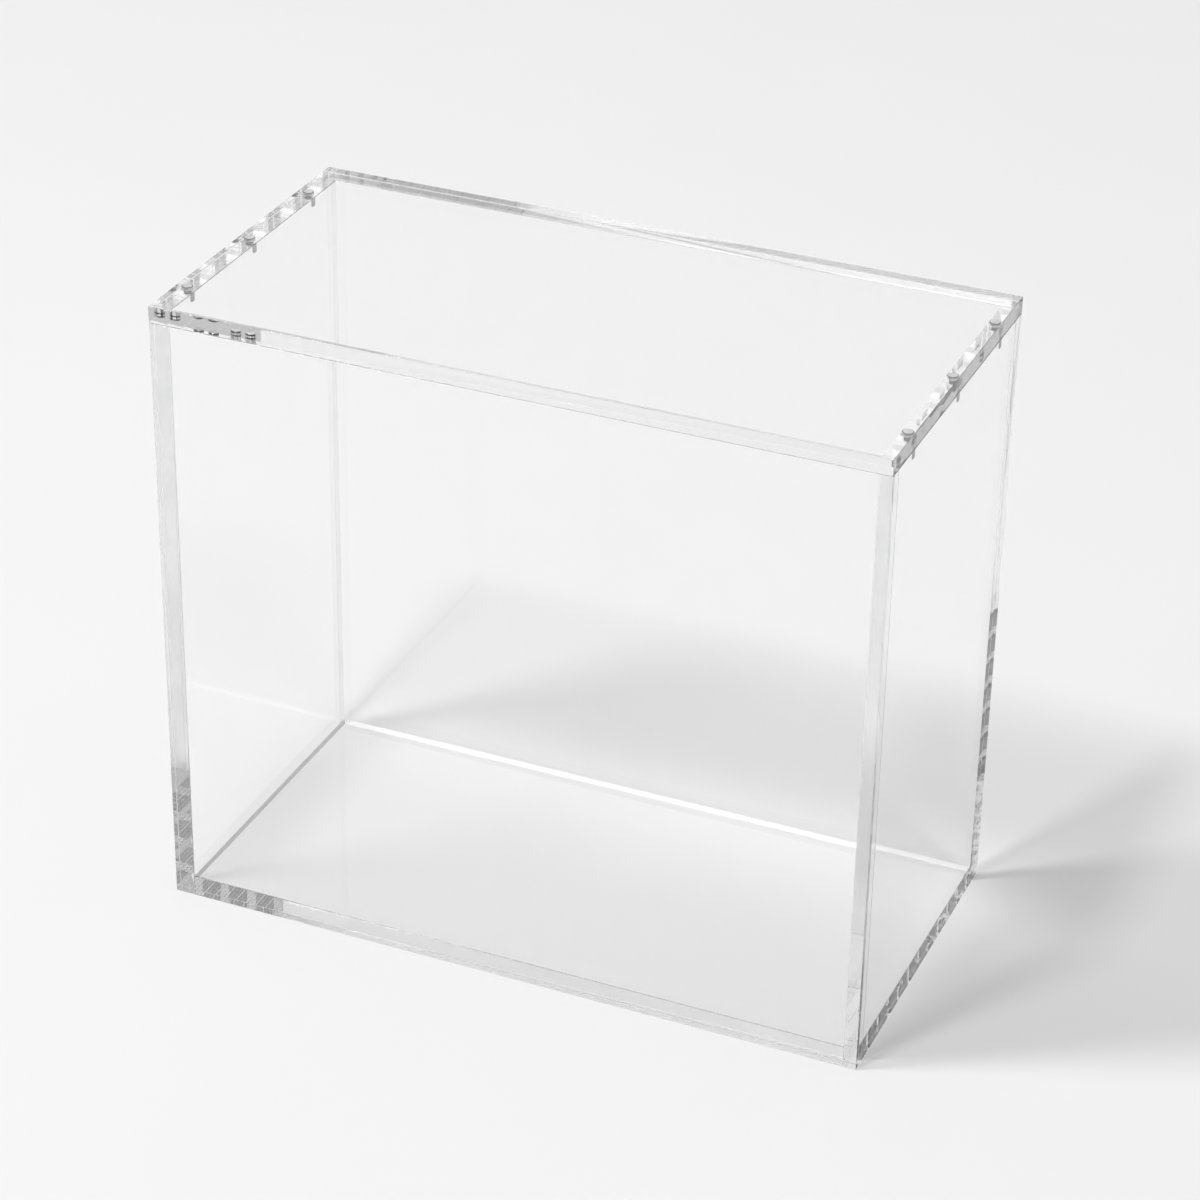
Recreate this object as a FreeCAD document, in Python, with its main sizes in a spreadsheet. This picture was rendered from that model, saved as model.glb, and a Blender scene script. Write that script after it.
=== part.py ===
import FreeCAD, Part
import Sketcher
import os

# Clear acrylic display case with a lift-off lid.
# Frame: origin at the centre of the underside, +X along the long side, +Y from the
# front towards the back, +Z up. All sizes are in millimetres.

doc = FreeCAD.newDocument("display_case")
V = FreeCAD.Vector

# ---------------------------------------------------------------- driving dimensions
sheet = doc.addObject("Spreadsheet::Sheet", "dims")
CELLS = [
    # overall footprint and the sheet that everything is cut from
    ("case_width", 204.0),
    ("case_depth", 103.0),
    ("sheet_thickness", 4.5),
    ("wall_height", 176.85),
    ("lid_clearance", 0.15),       # lid underside above the wall tops
    # broken arrises
    ("wall_arris", 0.25),
    ("lid_arris", 0.30),
    # fastener row along each short side
    ("fastener_pitch", 34.6),
    # magnets bonded into the lid
    ("magnet_diameter", 3.0),
    ("magnet_length", 3.0),
    ("magnet_chamfer", 0.2),
    ("pocket_diameter", 3.1),
    ("pocket_depth", 2.75),        # to the shoulder of the drill point
    ("pocket_mouth", 3.6),
    # steel pins bonded into the side walls
    ("pin_diameter", 2.0),
    ("pin_length", 3.0),
    ("pin_chamfer", 0.15),
    ("pin_proud", 0.05),           # pin top above the wall top
    ("pin_hole_diameter", 2.04),
    ("pin_hole_depth", 2.85),      # to the shoulder of the drill point
    ("pin_hole_mouth", 3.0),
    ("drill_angle", 118.0),
]
for i, (alias, value) in enumerate(CELLS):
    row = i + 1
    sheet.set("A%d" % row, alias)
    sheet.set("B%d" % row, str(value))
    sheet.setAlias("B%d" % row, alias)
doc.recompute()

TOL = 1e-4
NODES = []


def plane(body, role):
    return [o for o in body.Origin.OriginFeatures if o.Role == role][0]


def new_body(name):
    body = doc.addObject("PartDesign::Body", name)
    body.Label = name
    NODES.append(body)
    return body


def place(body, x="0", y="0", z="0"):
    body.setExpression(".Placement.Base.x", x)
    body.setExpression(".Placement.Base.y", y)
    body.setExpression(".Placement.Base.z", z)


def rectangle(body, name, length_x, length_y):
    """Rectangle on the body's ground plane, centred on its origin."""
    sk = body.newObject("Sketcher::SketchObject", name)
    sk.AttachmentSupport = [(plane(body, "XY_Plane"), "")]
    sk.MapMode = "FlatFace"
    pts = [V(-10, -5, 0), V(10, -5, 0), V(10, 5, 0), V(-10, 5, 0)]
    for a in range(4):
        sk.addGeometry(Part.LineSegment(pts[a], pts[(a + 1) % 4]), False)
    for a in range(4):
        sk.addConstraint(Sketcher.Constraint("Coincident", a, 2, (a + 1) % 4, 1))
    for a in (0, 2):
        sk.addConstraint(Sketcher.Constraint("Horizontal", a))
    for a in (1, 3):
        sk.addConstraint(Sketcher.Constraint("Vertical", a))
    sk.addConstraint(Sketcher.Constraint("Symmetric", 0, 1, 2, 1, -1, 1))
    cx = sk.addConstraint(Sketcher.Constraint("DistanceX", 0, 1, 0, 2, 20.0))
    sk.renameConstraint(cx, "length_x")
    cy = sk.addConstraint(Sketcher.Constraint("DistanceY", 1, 1, 1, 2, 10.0))
    sk.renameConstraint(cy, "length_y")
    sk.setExpression("Constraints.length_x", length_x)
    sk.setExpression("Constraints.length_y", length_y)
    return sk


def pad(body, name, sk, length):
    feat = body.newObject("PartDesign::Pad", name)
    feat.Profile = sk
    feat.setExpression("Length", length)
    sk.Visibility = False
    doc.recompute()
    return feat


def chamfer(body, name, base, size, keep):
    """Break the straight edges of base whose midpoint and direction keep() accepts."""
    names = []
    for k, e in enumerate(base.Shape.Edges):
        d = e.valueAt(e.LastParameter) - e.valueAt(e.FirstParameter)
        m = (e.valueAt(e.LastParameter) + e.valueAt(e.FirstParameter)) * 0.5
        if keep(m, d):
            names.append("Edge%d" % (k + 1))
    feat = body.newObject("PartDesign::Chamfer", name)
    feat.Base = (base, names)
    feat.setExpression("Size", size)
    body.Tip = feat
    doc.recompute()
    return feat


def face_at(shape, z):
    """Name of the flat face that lies at height z."""
    for k, f in enumerate(shape.Faces):
        bb = f.BoundBox
        if abs(bb.ZMin - z) < TOL and abs(bb.ZMax - z) < TOL:
            return "Face%d" % (k + 1)
    raise RuntimeError("no face at height %g" % z)


def drill(body, name, base, face, points, diameter, depth, mouth):
    """Blind drilled holes with a drill point and a countersunk mouth, from one face."""
    sk = body.newObject("Sketcher::SketchObject", name + "_centres")
    sk.AttachmentSupport = [(base, face)]
    sk.MapMode = "FlatFace"
    doc.recompute()
    for k, (px, py, expr_x, expr_y) in enumerate(points):
        sk.addGeometry(Part.Circle(V(px, py, 0), V(0, 0, 1), 1.0), False)
        r = sk.addConstraint(Sketcher.Constraint("Diameter", k, 2.0))
        sk.renameConstraint(r, "bore_%d" % k)
        sk.setExpression("Constraints.bore_%d" % k, diameter)
        for axis, value, expr in (("X", px, expr_x), ("Y", py, expr_y)):
            if expr is None:
                sk.addConstraint(Sketcher.Constraint("PointOnObject", k, 3, -2 if axis == "X" else -1))
            else:
                c = sk.addConstraint(Sketcher.Constraint("Distance" + axis, -1, 1, k, 3, value))
                sk.renameConstraint(c, "centre_%s_%d" % (axis.lower(), k))
                sk.setExpression("Constraints.centre_%s_%d" % (axis.lower(), k), expr)
    doc.recompute()
    before = base.Shape.Volume
    hole = body.newObject("PartDesign::Hole", name)
    hole.Profile = sk
    hole.DepthType = "Dimension"
    hole.Threaded = False
    hole.setExpression("Diameter", diameter)
    hole.setExpression("Depth", depth)
    hole.DrillPoint = "Angled"
    hole.setExpression("DrillPointAngle", "dims.drill_angle")
    hole.HoleCutType = "Countersink"
    hole.setExpression("HoleCutDiameter", mouth)
    hole.HoleCutCountersinkAngle = 90.0
    sk.Visibility = False
    body.Tip = hole
    doc.recompute()
    # each bore removes a cylinder, a drill point and the rim of the mouth
    removed = (before - hole.Shape.Volume) / len(points)
    assert removed > 5.0, "%s removes only %g" % (name, removed)
    return hole


def value(alias):
    return float(sheet.get(alias))


PITCH = value("fastener_pitch")
HALF_T = value("sheet_thickness") / 2.0

# ---------------------------------------------------------------- front and back panels
# Full width and full height. They cover the ends of the side walls and the edge of the
# base, so only the arris that meets the glue lines stays square.
for name, side in (("front_panel", -1), ("back_panel", 1)):
    body = new_body(name)
    sk = rectangle(body, name + "_outline", "dims.case_width", "dims.sheet_thickness")
    blank = pad(body, name + "_blank", sk, "dims.wall_height")

    def exposed(m, d, side=side):
        inner = abs(m.y + side * HALF_T) < TOL
        upright = abs(d.z) > 1.0
        low = abs(m.z) < TOL
        return not (inner and (upright or low))

    chamfer(body, name + "_arrises", blank, "dims.wall_arris", exposed)
    sign = "" if side > 0 else "-"
    place(body, y="%s(dims.case_depth - dims.sheet_thickness)/2" % sign)

# ---------------------------------------------------------------- left and right side panels
# They stand between the front and back panels. Three blind holes in the top edge, on the
# middle of the sheet, take the steel pins.
for name, side in (("left_side_panel", -1), ("right_side_panel", 1)):
    body = new_body(name)
    sk = rectangle(body, name + "_outline", "dims.sheet_thickness",
                   "dims.case_depth - 2*dims.sheet_thickness")
    blank = pad(body, name + "_blank", sk, "dims.wall_height")

    def exposed(m, d, side=side):
        along = abs(d.y) > 1.0
        outer = abs(m.x - side * HALF_T) < TOL
        top = m.z > 1.0
        return along and (outer or top)

    edges = chamfer(body, name + "_arrises", blank, "dims.wall_arris", exposed)
    top_face = face_at(edges.Shape, value("wall_height"))
    drill(body, name + "_pin_holes", edges, top_face,
          [(0.0, -PITCH, None, "-dims.fastener_pitch"),
           (0.0, 0.0, None, None),
           (0.0, PITCH, None, "dims.fastener_pitch")],
          "dims.pin_hole_diameter", "dims.pin_hole_depth", "dims.pin_hole_mouth")
    sign = "" if side > 0 else "-"
    place(body, x="%s(dims.case_width - dims.sheet_thickness)/2" % sign)

# ---------------------------------------------------------------- base panel
# Set between the four walls with its underside flush with their lower edges.
body = new_body("base_panel")
sk = rectangle(body, "base_outline", "dims.case_width - 2*dims.sheet_thickness",
               "dims.case_depth - 2*dims.sheet_thickness")
pad(body, "base_blank", sk, "dims.sheet_thickness")
place(body)

# ---------------------------------------------------------------- lid panel
# A flat plate of the full footprint. Blind pockets drilled from the underside hold the
# magnets over the middle of the side walls.
body = new_body("lid_panel")
sk = rectangle(body, "lid_outline", "dims.case_width", "dims.case_depth")
blank = pad(body, "lid_blank", sk, "dims.sheet_thickness")
edges = chamfer(body, "lid_arrises", blank, "dims.lid_arris", lambda m, d: True)
under = face_at(edges.Shape, 0.0)
ROW_X = (value("case_width") - value("sheet_thickness")) / 2.0
row_expr = "(dims.case_width - dims.sheet_thickness)/2"
pockets = []
for sx in (-1, 1):
    ex = row_expr if sx > 0 else "-" + row_expr
    pockets += [(sx * ROW_X, -PITCH, ex, "-dims.fastener_pitch"),
                (sx * ROW_X, 0.0, ex, None),
                (sx * ROW_X, PITCH, ex, "dims.fastener_pitch")]
drill(body, "lid_magnet_pockets", edges, under, pockets,
      "dims.pocket_diameter", "dims.pocket_depth", "dims.pocket_mouth")
place(body, z="dims.wall_height + dims.lid_clearance")


# ---------------------------------------------------------------- magnets and pins
def cylinder(name, diameter, length, edge):
    """Plain cylinder with both rims broken, standing on its own origin."""
    body = new_body(name)
    sk = body.newObject("Sketcher::SketchObject", name + "_round")
    sk.AttachmentSupport = [(plane(body, "XY_Plane"), "")]
    sk.MapMode = "FlatFace"
    sk.addGeometry(Part.Circle(V(0, 0, 0), V(0, 0, 1), 1.0), False)
    sk.addConstraint(Sketcher.Constraint("Coincident", 0, 3, -1, 1))
    c = sk.addConstraint(Sketcher.Constraint("Diameter", 0, 2.0))
    sk.renameConstraint(c, "across")
    sk.setExpression("Constraints.across", diameter)
    blank = pad(body, name + "_blank", sk, length)
    rims = ["Edge%d" % (k + 1) for k, e in enumerate(blank.Shape.Edges) if e.isClosed()]
    feat = body.newObject("PartDesign::Chamfer", name + "_rims")
    feat.Base = (blank, rims)
    feat.setExpression("Size", edge)
    body.Tip = feat
    doc.recompute()
    return body


for side, sx in (("left", "-"), ("right", "")):
    for spot, ky in (("front", "-dims.fastener_pitch"), ("middle", "0"), ("rear", "dims.fastener_pitch")):
        # a magnet seats on the shoulder of its pocket and stands a little below the lid
        magnet = cylinder("lid_magnet_%s_%s" % (side, spot),
                          "dims.magnet_diameter", "dims.magnet_length", "dims.magnet_chamfer")
        place(magnet, sx + row_expr, ky, "dims.wall_height + dims.pin_proud")
        # a pin seats on the shoulder of its hole, under the magnet
        pin = cylinder("wall_pin_%s_%s" % (side, spot),
                       "dims.pin_diameter", "dims.pin_length", "dims.pin_chamfer")
        place(pin, sx + row_expr, ky, "dims.wall_height + dims.pin_proud - dims.pin_length")

doc.recompute()

# ---------------------------------------------------------------- checks and files
for obj in doc.Objects:
    bad = [s for s in obj.State if s in ("Invalid", "Error")]
    if bad:
        raise RuntimeError("%s is %s" % (obj.Name, bad))
for body in NODES:
    shape = body.Shape
    if shape.isNull() or not shape.isValid() or len(shape.Solids) != 1:
        raise RuntimeError("%s is not one valid solid" % body.Label)

os.makedirs("parts", exist_ok=True)
for body in NODES:
    body.Shape.exportStep("parts/%s.step" % body.Label)
    b = body.Shape.BoundBox
    print("%-26s %9.3f mm3  x %.3f..%.3f  y %.3f..%.3f  z %.3f..%.3f" % (
        body.Label, body.Shape.Volume, b.XMin, b.XMax, b.YMin, b.YMax, b.ZMin, b.ZMax))
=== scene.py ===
"""Looks of the clear display case: polished acrylic panels, drilled pockets, bright magnets and pins."""

import math

import bmesh
import bpy
from mathutils import Matrix, Vector


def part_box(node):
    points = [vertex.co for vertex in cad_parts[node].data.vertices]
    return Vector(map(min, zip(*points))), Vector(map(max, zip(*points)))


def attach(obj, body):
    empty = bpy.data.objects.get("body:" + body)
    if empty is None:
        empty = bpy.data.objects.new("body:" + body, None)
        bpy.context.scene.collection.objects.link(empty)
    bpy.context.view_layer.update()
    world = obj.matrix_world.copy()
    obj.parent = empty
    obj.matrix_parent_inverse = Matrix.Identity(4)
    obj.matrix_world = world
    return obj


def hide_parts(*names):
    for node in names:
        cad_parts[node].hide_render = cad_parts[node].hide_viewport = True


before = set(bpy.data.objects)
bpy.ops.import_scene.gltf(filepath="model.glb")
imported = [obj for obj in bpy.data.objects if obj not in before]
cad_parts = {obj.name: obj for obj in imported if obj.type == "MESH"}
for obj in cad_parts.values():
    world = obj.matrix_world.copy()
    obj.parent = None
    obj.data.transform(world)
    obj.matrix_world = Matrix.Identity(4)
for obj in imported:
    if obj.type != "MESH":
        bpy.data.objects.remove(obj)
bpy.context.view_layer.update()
scene = bpy.context.scene
MM = 0.001

# ---------------------------------------------------------------- shader helpers


def new_material(name):
    m = bpy.data.materials.new(name)
    m.use_nodes = True
    nt = m.node_tree
    nt.nodes.clear()
    out = nt.nodes.new("ShaderNodeOutputMaterial")
    return m, nt, out


def node(nt, kind, **props):
    n = nt.nodes.new(kind)
    for k, v in props.items():
        setattr(n, k, v)
    return n


def link(nt, a, b):
    nt.links.new(a, b)


def ranged(nt, value, lo, hi, from_lo=0.0, from_hi=1.0):
    """value, from_lo to from_hi, mapped to lo to hi."""
    n = node(nt, "ShaderNodeMapRange")
    n.clamp = True
    n.inputs["From Min"].default_value = from_lo
    n.inputs["From Max"].default_value = from_hi
    n.inputs["To Min"].default_value = lo
    n.inputs["To Max"].default_value = hi
    link(nt, value, n.inputs["Value"])
    return n.outputs["Result"]


def noise(nt, coords, scale, detail=3.0, rough=0.55, stretch=None):
    if stretch is not None:
        mp = node(nt, "ShaderNodeMapping")
        mp.inputs["Scale"].default_value = stretch
        link(nt, coords, mp.inputs["Vector"])
        coords = mp.outputs["Vector"]
    n = node(nt, "ShaderNodeTexNoise")
    n.inputs["Scale"].default_value = scale
    n.inputs["Detail"].default_value = detail
    n.inputs["Roughness"].default_value = rough
    link(nt, coords, n.inputs["Vector"])
    return n.outputs["Fac"]


def let_light_through(nt, surface, tint, slanted=True, bounced=None, spill=None, foot=None):
    """Lamps and bounced light cross the clear sheet straight. Each face keeps tint of a lamp's light square on, and where slanted
    less at a slant, as acrylic does. bounced is the share that it keeps of light from the room. spill is (middle, half width, height, upper tint):
    light passes best in a gable over the foot of an upright sheet, and above it the sheet leads more of it away.
    foot is (height, gain): what more comes through the foot of a slanted sheet, with the light that it leads down."""
    path = node(nt, "ShaderNodeLightPath")
    room = node(nt, "ShaderNodeBsdfTransparent")
    share = tint if bounced is None else bounced
    room.inputs["Color"].default_value = (share, share, share, 1)
    lamps = node(nt, "ShaderNodeBsdfTransparent")
    if spill is not None:
        middle, half, height, upper = spill
        sep = node(nt, "ShaderNodeSeparateXYZ")
        link(nt, node(nt, "ShaderNodeTexCoord").outputs["Object"], sep.inputs[0])
        aside = node(nt, "ShaderNodeMath", operation="SUBTRACT")
        link(nt, sep.outputs["Y"], aside.inputs[0])
        aside.inputs[1].default_value = middle
        off = node(nt, "ShaderNodeMath", operation="ABSOLUTE")
        link(nt, aside.outputs[0], off.inputs[0])
        roof = node(nt, "ShaderNodeMath", operation="MULTIPLY_ADD")
        link(nt, off.outputs[0], roof.inputs[0])
        roof.inputs[1].default_value = height / half
        link(nt, sep.outputs["Z"], roof.inputs[2])
        ramp = node(nt, "ShaderNodeValToRGB")
        ramp.color_ramp.interpolation = "EASE"
        ramp.color_ramp.elements[0].color = (tint, tint, tint, 1)
        ramp.color_ramp.elements[1].color = (upper, upper, upper, 1)
        link(nt, ranged(nt, roof.outputs[0], 0.0, 1.0, 0.55 * height, 1.35 * height), ramp.inputs["Fac"])
        link(nt, ramp.outputs["Color"], lamps.inputs["Color"])
    elif slanted:
        slant = node(nt, "ShaderNodeLayerWeight")
        slant.inputs["Blend"].default_value = 0.5
        ramp = node(nt, "ShaderNodeValToRGB")
        els = ramp.color_ramp.elements
        stops = [(0.0, 1.0), (0.35, 0.99), (0.5, 0.95), (0.6, 0.905), (0.7, 0.84), (0.78, 0.79), (0.9, 0.76), (1.0, 0.76)]
        while len(els) < len(stops):
            els.new(0.5)
        for e, (at, part) in zip(els, stops):
            e.position, e.color = at, (tint * part, tint * part, tint * part, 1)
        link(nt, slant.outputs["Facing"], ramp.inputs["Fac"])
        kept = ramp.outputs["Color"]
        if foot is not None:
            height, gain = foot
            sep = node(nt, "ShaderNodeSeparateXYZ")
            link(nt, node(nt, "ShaderNodeTexCoord").outputs["Object"], sep.inputs[0])
            more = node(nt, "ShaderNodeMix", data_type="RGBA", blend_type="MULTIPLY")
            more.inputs[0].default_value = 1.0
            link(nt, kept, more.inputs[6])
            link(nt, ranged(nt, sep.outputs["Z"], gain, 1.0, 0.3 * height, height), more.inputs[7])
            kept = more.outputs[2]
        link(nt, kept, lamps.inputs["Color"])
    else:
        lamps.inputs["Color"].default_value = (tint, tint, tint, 1)
    for ray, clear in (("Is Diffuse Ray", room), ("Is Shadow Ray", lamps)):
        mix = node(nt, "ShaderNodeMixShader")
        link(nt, path.outputs[ray], mix.inputs[0])
        link(nt, surface, mix.inputs[1])
        link(nt, clear.outputs[0], mix.inputs[2])
        surface = mix.outputs[0]
    return surface


# ---------------------------------------------------------------- materials


def acrylic(name, tint, rough, wave, wave_scale, stretch=None, colour=(0.998, 0.998, 0.998), slanted=True, bounced=None, spill=None, foot=None):
    """Clear cast acrylic. rough is the roughness of clean and of handled spots, wave the depth of the polish ripple."""
    m, nt, out = new_material(name)
    co = node(nt, "ShaderNodeTexCoord").outputs["Object"]
    p = node(nt, "ShaderNodeBsdfPrincipled")
    p.inputs["IOR"].default_value = 1.49
    p.inputs["Transmission Weight"].default_value = 1.0
    haze = noise(nt, co, 34.0, 4.0)
    ramp = node(nt, "ShaderNodeValToRGB")
    ramp.color_ramp.elements[0].position = 0.35
    ramp.color_ramp.elements[0].color = (colour[0], colour[1], colour[2], 1)
    ramp.color_ramp.elements[1].position = 0.75
    ramp.color_ramp.elements[1].color = (colour[0] * 0.994, colour[1] * 0.994, colour[2] * 0.995, 1)
    link(nt, haze, ramp.inputs["Fac"])
    link(nt, ramp.outputs["Color"], p.inputs["Base Color"])
    link(nt, ranged(nt, haze, rough[0], rough[1], 0.56, 0.80), p.inputs["Roughness"])
    if wave:
        b = node(nt, "ShaderNodeBump")
        b.inputs["Strength"].default_value = 1.0
        b.inputs["Distance"].default_value = wave
        link(nt, noise(nt, co, wave_scale, 2.0, 0.5, stretch), b.inputs["Height"])
        link(nt, b.outputs["Normal"], p.inputs["Normal"])
    link(nt, let_light_through(nt, p.outputs[0], tint, slanted, bounced, spill, foot), out.inputs["Surface"])
    return m


def rings_from(name):
    """Lower and upper end of the pieces of one metal, in the frame of their meshes."""
    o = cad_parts["lid_magnet_left_front" if name == "nickel_plate" else "wall_pin_left_front"]
    heights = [v.co.z for v in o.data.vertices]
    return min(heights), max(heights)


def metal(name, dark, light, rough, stretch, scale, groove, rings):
    """Bright metal. rings are (height, part) along the piece from its foot, each part darkening the base colour there:
    on the magnets dark bands of painted reflection of dark surroundings, on the pins darker towards both ends.
    """
    m, nt, out = new_material(name)
    co = node(nt, "ShaderNodeTexCoord").outputs["Object"]
    p = node(nt, "ShaderNodeBsdfPrincipled")
    p.inputs["Metallic"].default_value = 1.0
    grain = noise(nt, co, scale, 4.0, 0.6, stretch)
    ramp = node(nt, "ShaderNodeValToRGB")
    ramp.color_ramp.elements[0].position = 0.3
    ramp.color_ramp.elements[0].color = (*dark, 1)
    ramp.color_ramp.elements[1].position = 0.7
    ramp.color_ramp.elements[1].color = (*light, 1)
    link(nt, grain, ramp.inputs["Fac"])
    along = node(nt, "ShaderNodeSeparateXYZ")
    link(nt, co, along.inputs[0])
    painted_dark_bands = node(nt, "ShaderNodeValToRGB")
    els = painted_dark_bands.color_ramp.elements
    while len(els) < len(rings):
        els.new(0.5)
    for e, (at, part) in zip(els, rings):
        e.position, e.color = at, (part, part, part, 1)
    foot, head = rings_from(name)
    link(nt, ranged(nt, along.outputs["Z"], 0.0, 1.0, foot, head), painted_dark_bands.inputs["Fac"])
    both = node(nt, "ShaderNodeMix", data_type="RGBA", blend_type="MULTIPLY")
    both.inputs[0].default_value = 1.0
    link(nt, ramp.outputs["Color"], both.inputs[6])
    link(nt, painted_dark_bands.outputs["Color"], both.inputs[7])
    link(nt, both.outputs[2], p.inputs["Base Color"])
    link(nt, ranged(nt, grain, rough[0], rough[1], 0.3, 0.7), p.inputs["Roughness"])
    b = node(nt, "ShaderNodeBump")
    b.inputs["Strength"].default_value = 0.5
    b.inputs["Distance"].default_value = groove
    link(nt, grain, b.inputs["Height"])
    link(nt, b.outputs["Normal"], p.inputs["Normal"])
    link(nt, p.outputs[0], out.inputs["Surface"])
    return m


def weld(name, tint, room, shade_lines=None):
    """A solvent weld between two panels: the acrylic is one body there, but for a faint clouding. The solid corner
    leads lamp light away, so it casts a streak.
    runs is how clear the dark bands are that are laid along the joint: painted shade along the wall's foot, drawn as
    lines a solvent could leave."""
    m, nt, out = new_material(name)
    co = node(nt, "ShaderNodeTexCoord").outputs["Object"]
    clear = node(nt, "ShaderNodeBsdfTransparent")
    ramp = node(nt, "ShaderNodeValToRGB")
    ramp.color_ramp.elements[0].position = 0.3
    ramp.color_ramp.elements[0].color = (0.968, 0.968, 0.969, 1)
    ramp.color_ramp.elements[1].position = 0.8
    ramp.color_ramp.elements[1].color = (0.925, 0.925, 0.927, 1)
    cloud_and_shade_bands = noise(nt, co, 120.0, 3.0)
    # dark bands along the joint: painted shade
    if shade_lines is not None:
        lines = node(nt, "ShaderNodeTexWave", wave_type="BANDS", bands_direction="Z")
        lines.inputs["Scale"].default_value = 210.0
        lines.inputs["Distortion"].default_value = 0.6
        lines.inputs["Detail Scale"].default_value = 0.5
        link(nt, co, lines.inputs["Vector"])
        cloud_and_shade_bands = lines.outputs["Fac"]
        ramp.color_ramp.elements[0].color = (shade_lines + 0.12, shade_lines + 0.12, shade_lines + 0.12, 1)
        ramp.color_ramp.elements[1].color = (shade_lines, shade_lines, shade_lines, 1)
    link(nt, cloud_and_shade_bands, ramp.inputs["Fac"])
    link(nt, ramp.outputs["Color"], clear.inputs["Color"])
    link(nt, let_light_through(nt, clear.outputs[0], tint, False, room), out.inputs["Surface"])
    return m


mat_wall = acrylic("acrylic_wall", 0.975, (0.0, 0.006), 0.0, 0.0, bounced=0.987)
mat_wall_left = acrylic("acrylic_wall_left", 0.74, (0.0, 0.006), 0.0, 0.0, bounced=0.987, spill=(0.0, 9.0, 0.045, 0.95))
mat_wall_back = acrylic("acrylic_wall_back", 0.90, (0.0, 0.006), 0.0, 0.0, bounced=0.98, foot=(0.07, 1.18))
mat_wall_right = acrylic("acrylic_wall_right", 0.93, (0.0, 0.006), 0.0, 0.0, bounced=0.965, spill=(0.006, 0.052, 0.067, 0.52))
mat_plate = acrylic("acrylic_plate", 0.996, (0.0, 0.006), 0.0, 0.0, slanted=False, bounced=0.997)
mat_base = acrylic("acrylic_base", 1.035, (0.0, 0.006), 0.0, 0.0, slanted=False, bounced=1.0)
mat_edge = acrylic("acrylic_polished_end", 0.52, (0.0, 0.01), 0.0, 0.0, slanted=False, bounced=0.8)
mat_rim = acrylic("acrylic_polished_rim", 0.99, (0.0, 0.01), 0.0, 0.0, slanted=False)
# the lid's two short ends are painted grey: a painted reflection of the dark surroundings, as the acrylic itself is
# colourless
mat_end_painted_dark = acrylic("acrylic_end_painted_dark", 0.9, (0.0, 0.01), 0.0, 0.0, colour=(0.56, 0.56, 0.56), slanted=False)
# light that a wall leads down from its upper edge comes out at its foot
mat_foot = acrylic("acrylic_foot", 1.5, (0.0, 0.01), 0.0, 0.0, slanted=False)
mat_foot_left = acrylic("acrylic_foot_left", 0.72, (0.0, 0.01), 0.0, 0.0, slanted=False, bounced=0.9)
mat_weld = weld("acrylic_weld", 0.58, 0.9)
mat_weld_foot = weld("acrylic_weld_foot", 0.98, 0.98)
# the left foot's weld carries dark bands: painted shade along the inner foot of the left wall
mat_weld_left = weld("acrylic_weld_left", 0.98, 0.98, 0.73)
mat_glue = weld("clear_glue", 0.97, 0.97)
# the magnets' dark bands at foot, middle and head are painted reflection of dark surroundings, not modelled rims
mat_magnet = metal(
    "nickel_plate", (0.74, 0.735, 0.725), (0.90, 0.895, 0.885), (0.05, 0.12), (1, 1, 0.25), 900.0, 0.000006,
    [(0.0, 0.15), (0.08, 0.15), (0.12, 0.95), (0.50, 1.0), (0.54, 0.12), (0.64, 0.12), (0.68, 1.0), (0.82, 1.0), (0.86, 0.12), (0.97, 0.12), (0.99, 1.0)],
)
# the pins' base colour is darker towards both ends
mat_pin = metal(
    "ground_steel", (0.28, 0.282, 0.285), (0.46, 0.463, 0.466), (0.12, 0.24), (1, 1, 7.0), 700.0, 0.000008,
    [(0.0, 0.45), (0.12, 0.7), (0.5, 1.0), (0.9, 0.9), (1.0, 0.4)],
)

# ---------------------------------------------------------------- panels


def pocket(x, y, z, up, radius, depth, mouth, tip):
    """A drilled blind hole to cut away: mouth countersink, straight bore and drill point, wetted by clear glue. up is 1 where it goes upwards from z."""
    flare = mouth - radius
    rings = [(mouth + 0.5 * MM, -0.5 * MM), (mouth, 0.0), (radius, flare), (radius, depth)]
    n = 48
    bm = bmesh.new()
    loops = []
    for r, h in rings:
        loops.append([bm.verts.new((x + r * math.cos(2 * math.pi * i / n), y + r * math.sin(2 * math.pi * i / n), z + up * h)) for i in range(n)])
    apex = bm.verts.new((x, y, z + up * (depth + tip)))
    faces = [bm.faces.new(loops[0])]
    for a, b in zip(loops, loops[1:]):
        for i in range(n):
            faces.append(bm.faces.new((a[i], a[(i + 1) % n], b[(i + 1) % n], b[i])))
    for i in range(n):
        faces.append(bm.faces.new((loops[-1][i], loops[-1][(i + 1) % n], apex)))
    bmesh.ops.recalc_face_normals(bm, faces=bm.faces)
    for f in bm.faces:
        f.material_index = 2
    me = bpy.data.meshes.new("cutter")
    bm.to_mesh(me)
    bm.free()
    for m in (mat_wall, mat_edge, mat_glue):
        me.materials.append(m)
    o = bpy.data.objects.new("cutter", me)
    scene.collection.objects.link(o)
    return o


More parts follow.
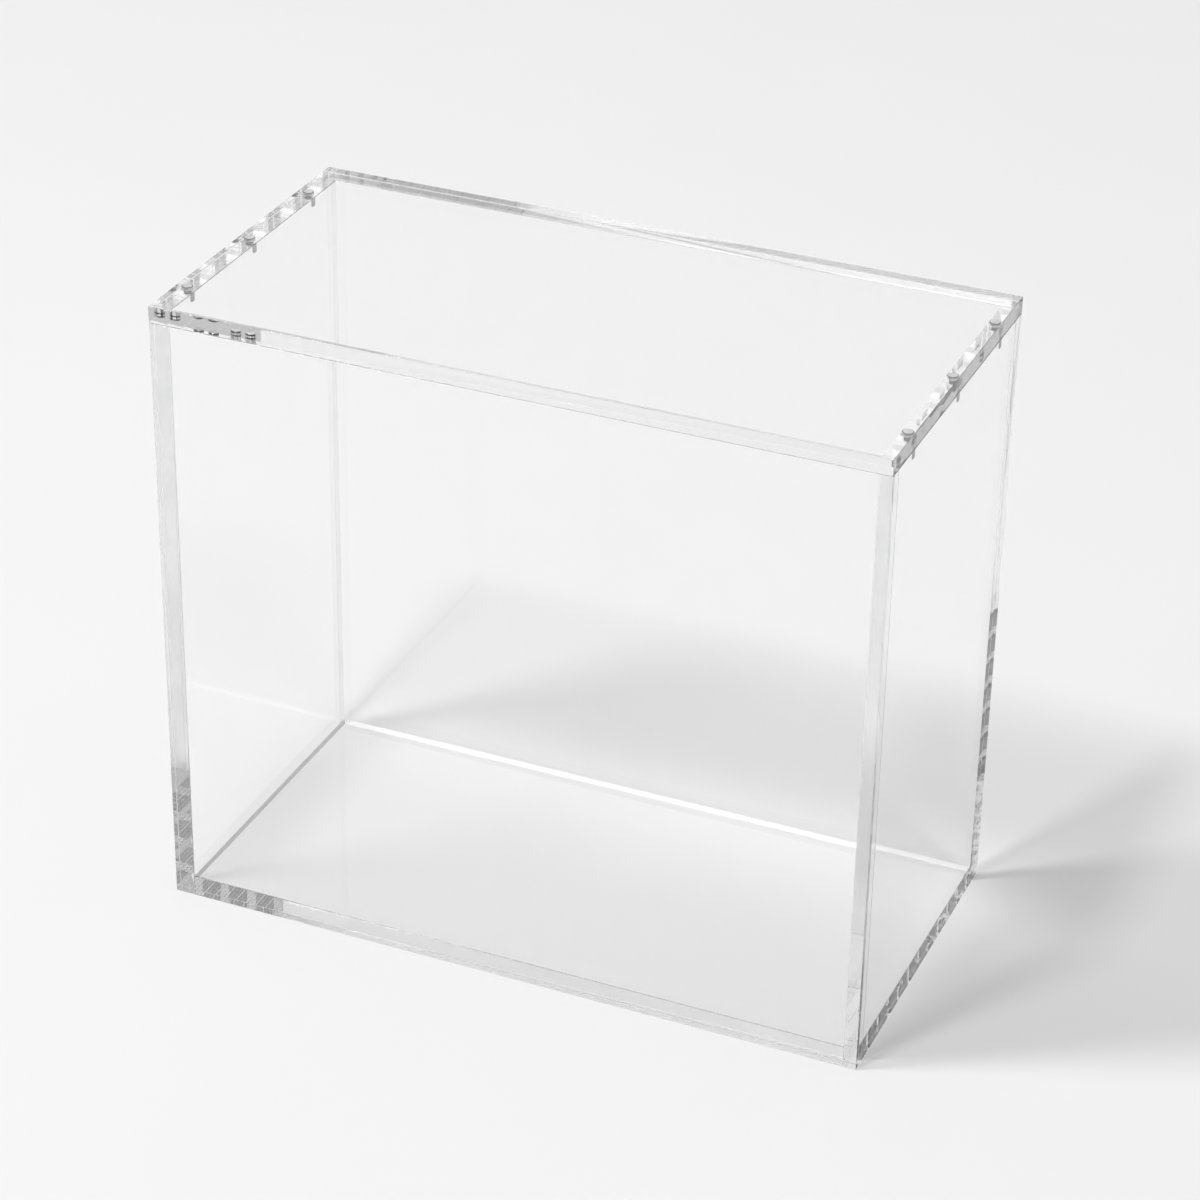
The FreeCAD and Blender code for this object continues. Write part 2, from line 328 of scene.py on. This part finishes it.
def panel(name, node_name, body, thin, radius, face_material, cuts=(), welded=None, pockets=(), foot_material=None, end_material=None):
    """One sheet that stands for a CAD panel. thin is the axis of its thickness and radius the ease of its arrises,
    cuts the (axis, place) planes where a neighbour's outline crosses its faces, and welded says which of them a neighbour is welded to."""
    lo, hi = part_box(node_name)
    bm = bmesh.new()
    bmesh.ops.create_cube(bm, size=1.0)
    for v in bm.verts:
        v.co = Vector([hi[i] if v.co[i] > 0 else lo[i] for i in range(3)])
    me = bpy.data.meshes.new(name)
    bm.to_mesh(me)
    bm.free()
    o = bpy.data.objects.new(name, me)
    scene.collection.objects.link(o)
    for m in (face_material, end_material or mat_edge, mat_glue, mat_weld, mat_rim, foot_material or mat_rim, mat_weld_foot, mat_weld_left):
        me.materials.append(m)
    b = o.modifiers.new("arris", "BEVEL")
    b.limit_method, b.width, b.segments, b.profile = "ANGLE", radius, 3, 0.5
    b.use_clamp_overlap = True
    for c in pockets:
        cut = o.modifiers.new("pocket", "BOOLEAN")
        cut.operation, cut.solver, cut.object = "DIFFERENCE", "EXACT", c
    bpy.context.view_layer.update()
    shaped = bpy.data.meshes.new_from_object(o.evaluated_get(bpy.context.evaluated_depsgraph_get()))
    o.modifiers.clear()
    o.data = shaped
    bpy.data.meshes.remove(me)
    shaped.name = name
    bm = bmesh.new()
    bm.from_mesh(shaped)
    for axis, at in cuts:
        bmesh.ops.bisect_plane(
            bm,
            geom=list(bm.verts) + list(bm.edges) + list(bm.faces),
            dist=1e-7,
            plane_co=[at if i == axis else 0.0 for i in range(3)],
            plane_no=[float(i == axis) for i in range(3)],
        )
    bm.to_mesh(shaped)
    bm.free()
    # the two broad faces keep the sheet's finish, the upright ends the saw-cut and polished one, arrises and level rims
    # the flamed one; the lid's short ends instead take end_material, a grey painted reflection of dark surroundings
    for f in shaped.polygons:
        if f.material_index == 2:
            continue
        n = f.normal
        if abs(n[thin]) > 0.9999:
            f.material_index = 0
        elif max(abs(n.x), abs(n.y)) > 0.9999 and (thin != 2 or (end_material and abs(n.x) > 0.9999)):
            f.material_index = 1
        else:
            f.material_index = 5 if n.z < -0.9999 else 4
        if welded is not None and welded(f.center, n):
            at_base = thin == 2 or (f.center.z < TOP and abs(n[thin]) > 0.9999 and abs(f.center.x) < IN_X + (thin == 0))
            on_left = abs(n.x) > 0.9999 and f.center.x < 0
            f.material_index = (7 if on_left else 6) if at_base else 3
    shaped.shade_smooth()
    shaped.set_sharp_from_angle(angle=math.radians(38))
    w = o.modifiers.new("normals", "WEIGHTED_NORMAL")
    w.mode, w.weight, w.keep_sharp = "FACE_AREA", 100, True
    bpy.context.view_layer.update()
    done = bpy.data.meshes.new_from_object(o.evaluated_get(bpy.context.evaluated_depsgraph_get()))
    o.modifiers.clear()
    o.data = done
    bpy.data.meshes.remove(shaped)
    done.name = name
    for c in pockets:
        bpy.data.objects.remove(c)
    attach(o, body)
    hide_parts(node_name)
    return o


TIP = 1.0 / math.tan(math.radians(59))
spots = {"front": -34.6, "middle": 0.0, "rear": 34.6}
lid_lo, lid_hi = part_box("lid_panel")


def wall_pockets(side):
    x0, x1 = (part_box(side + "_side_panel")[i].x for i in (0, 1))
    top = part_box(side + "_side_panel")[1].z
    return [
        pocket((x0 + x1) / 2, y * MM, top, -1, 1.02 * MM, 2.85 * MM, 1.5 * MM, 1.02 * MM * TIP)
        for y in spots.values()
    ]


def lid_pockets():
    xs = [sum(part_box(s + "_side_panel")[i].x for i in (0, 1)) / 2 for s in ("left", "right")]
    return [
        pocket(x, y * MM, lid_lo.z, 1, 1.55 * MM, 2.75 * MM, 1.8 * MM, 1.55 * MM * TIP)
        for x in xs
        for y in spots.values()
    ]


# the welds: two panels meet on the flat of the end, and the eased arrises leave a fine groove along each side of the joint
ARRIS = 0.18 * MM
base_lo, base_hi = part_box("base_panel")
IN_X, IN_Y, TOP = base_hi.x, base_hi.y, base_hi.z


def welded_long(inwards):
    """Where the side walls' ends and the base meet the inner face of the front or back wall."""

    def test(at, n):
        if n.y * inwards < 0.9999:
            return False
        return abs(at.x) > IN_X + ARRIS or (abs(at.x) < IN_X - ARRIS and ARRIS < at.z < TOP - ARRIS)

    return test


def welded_side(inwards):
    """The ends of a side wall, and the foot of its inner face where the base meets it."""

    def test(at, n):
        if abs(n.y) > 0.9999:
            return True
        return n.x * inwards > 0.9999 and ARRIS < at.z < TOP - ARRIS and abs(at.y) < IN_Y - ARRIS

    return test


def welded_base(at, n):
    return max(abs(n.x), abs(n.y)) > 0.9999


long_cuts = [(0, s * (IN_X + d)) for s in (-1, 1) for d in (-ARRIS, ARRIS)] + [(2, ARRIS), (2, TOP - ARRIS)]
side_cuts = [(1, -IN_Y + ARRIS), (1, IN_Y - ARRIS), (2, ARRIS), (2, TOP - ARRIS)]
panel("front_wall", "front_panel", "case", 1, ARRIS, mat_wall, long_cuts, welded_long(1))
panel("back_wall", "back_panel", "case", 1, ARRIS, mat_wall_back, long_cuts, welded_long(-1), foot_material=mat_foot)
panel("left_wall", "left_side_panel", "case", 0, ARRIS, mat_wall_left, side_cuts, welded_side(1), wall_pockets("left"), mat_foot_left)
panel("right_wall", "right_side_panel", "case", 0, ARRIS, mat_wall_right, side_cuts, welded_side(-1), wall_pockets("right"), mat_foot)
panel("base_plate", "base_panel", "case", 2, ARRIS, mat_base, (), welded_base)
panel("lid_plate", "lid_panel", "lid", 2, 0.09 * MM, mat_plate, (), None, lid_pockets(), end_material=mat_end_painted_dark)

for name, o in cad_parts.items():
    if name.startswith("lid_magnet") or name.startswith("wall_pin"):
        o.data.materials.clear()
        o.data.materials.append(mat_magnet if name.startswith("lid_magnet") else mat_pin)

# ---------------------------------------------------------------- floor

me = bpy.data.meshes.new("floor")
me.from_pydata([(x, y, -0.05 * MM) for x, y in ((-6, -6), (6, -6), (6, 6), (-6, 6))], [], [(0, 1, 2, 3)])
floor = bpy.data.objects.new("floor", me)
scene.collection.objects.link(floor)
m, nt, out = new_material("floor_white")
co = node(nt, "ShaderNodeTexCoord").outputs["Object"]
p = node(nt, "ShaderNodeBsdfPrincipled")
p.inputs["Roughness"].default_value = 0.9
p.inputs["Specular IOR Level"].default_value = 0.1
ramp = node(nt, "ShaderNodeValToRGB")
ramp.color_ramp.elements[0].color = (0.80, 0.80, 0.80, 1)
ramp.color_ramp.elements[1].color = (0.82, 0.82, 0.82, 1)
link(nt, noise(nt, co, 9.0, 5.0), ramp.inputs["Fac"])
link(nt, ramp.outputs["Color"], p.inputs["Base Color"])
link(nt, p.outputs[0], out.inputs["Surface"])
me.materials.append(m)

# ---------------------------------------------------------------- light

OVERHEAD = 0.40

world = bpy.data.worlds.new("studio")
scene.world = world
world.use_nodes = True
nt = world.node_tree
bg = nt.nodes["Background"]
sep = node(nt, "ShaderNodeSeparateXYZ")
link(nt, node(nt, "ShaderNodeTexCoord").outputs["Generated"], sep.inputs[0])


def soft_step(value, lo, hi):
    n = node(nt, "ShaderNodeMapRange", interpolation_type="SMOOTHSTEP")
    n.inputs["From Min"].default_value = lo
    n.inputs["From Max"].default_value = hi
    link(nt, value, n.inputs["Value"])
    return n.outputs["Result"]


def greys(value, stops):
    n = node(nt, "ShaderNodeValToRGB")
    els = n.color_ramp.elements
    while len(els) < len(stops):
        els.new(0.5)
    for e, (at, grey) in zip(els, stops):
        e.position, e.color = at, (grey, grey, grey, 1)
    link(nt, value, n.inputs["Fac"])
    return n.outputs["Color"]


def blend(fac, a, b):
    n = node(nt, "ShaderNodeMix", data_type="RGBA")
    link(nt, fac, n.inputs[0])
    link(nt, a, n.inputs[6])
    link(nt, b, n.inputs[7])
    return n.outputs[2]


# a white room with one large soft source overhead, a white wall at the back on the left, and dark flags on the other three sides
up, east, north = sep.outputs["Z"], soft_step(sep.outputs["X"], -0.16, 0.16), soft_step(sep.outputs["Y"], -0.30, 0.30)
PALE = 0.85
back_left = greys(up, [(0.0, PALE), (0.20, PALE), (0.26, 0.86), (0.66, 0.86)])
back_right = greys(up, [(0.0, PALE), (0.18, PALE), (0.26, 0.52), (0.46, 0.52), (0.52, 0.52), (0.66, 0.52)])
front_left = greys(up, [(0.0, PALE), (0.18, PALE), (0.26, 0.03), (0.66, 0.05)])
front_right = greys(up, [(0.0, PALE), (0.18, PALE), (0.26, 0.66), (0.66, 0.66)])
ring = blend(north, blend(east, front_left, front_right), blend(east, back_left, back_right))
over = greys(up, [(0.0, OVERHEAD), (1.0, OVERHEAD)])
link(nt, blend(soft_step(up, 0.66, 0.84), ring, over), bg.inputs["Color"])
bg.inputs["Strength"].default_value = 1.0


def lamp(name, at, radius, watts, even):
    """A soft round lamp. Its light keeps its strength with distance, and even is how far it makes up for the floor's slant."""
    data = bpy.data.lights.new(name, "POINT")
    data.shadow_soft_size = radius
    data.energy = watts
    data.use_nodes = True
    lt = data.node_tree
    fall = node(lt, "ShaderNodeLightFalloff")
    fall.inputs["Strength"].default_value = 1.0
    far = node(lt, "ShaderNodeMath", operation="DIVIDE")
    link(lt, node(lt, "ShaderNodeLightPath").outputs["Ray Length"], far.inputs[0])
    far.inputs[1].default_value = at[2]
    power = node(lt, "ShaderNodeMath", operation="POWER")
    link(lt, far.outputs[0], power.inputs[0])
    power.inputs[1].default_value = even
    times = node(lt, "ShaderNodeMath", operation="MULTIPLY")
    link(lt, fall.outputs["Constant"], times.inputs[0])
    link(lt, power.outputs[0], times.inputs[1])
    link(lt, times.outputs[0], lt.nodes["Emission"].inputs["Strength"])
    o = bpy.data.objects.new(name, data)
    scene.collection.objects.link(o)
    o.location = at
    return o


lamp("key_front", (-0.092, -0.40, 0.966), 0.05, 10.0, 1.0)
lamp("key_left", (-0.52, -0.375, 1.01), 0.11, 18.5, 0.0)

# ---------------------------------------------------------------- camera

f_px, az, el, roll = 3629.57, math.radians(22.698), math.radians(29.491), math.radians(1.0615)
back = Vector((math.sin(az) * math.cos(el), -math.cos(az) * math.cos(el), math.sin(el)))
right = Vector((0, 0, 1)).cross(back).normalized()
up = back.cross(right)
c, s = math.cos(roll), math.sin(roll)
rows = (c * right + s * up, c * up - s * right, back)
shift = Vector((-0.02858668, -0.39301906, -5.07355708)) * 0.204
place = -(rows[0] * shift[0] + rows[1] * shift[1] + rows[2] * shift[2])
cam = bpy.data.cameras.new("camera")
cam.sensor_width = 36
cam.lens = f_px / 1200 * 36
cam.clip_start, cam.clip_end = 0.01, 50
camera = bpy.data.objects.new("camera", cam)
scene.collection.objects.link(camera)
world_matrix = Matrix.Identity(4)
for i in range(3):
    for j in range(3):
        world_matrix[i][j] = rows[j][i]
    world_matrix[i][3] = place[i]
camera.matrix_world = world_matrix
scene.camera = camera

# ---------------------------------------------------------------- light transport and tone

scene.view_settings.view_transform = "Standard"
scene.cycles.max_bounces = 40
scene.cycles.transmission_bounces = 40
scene.cycles.glossy_bounces = 40
scene.cycles.transparent_max_bounces = 40
scene.cycles.diffuse_bounces = 3
scene.cycles.caustics_reflective = False
scene.cycles.caustics_refractive = False
scene.cycles.use_denoising = True
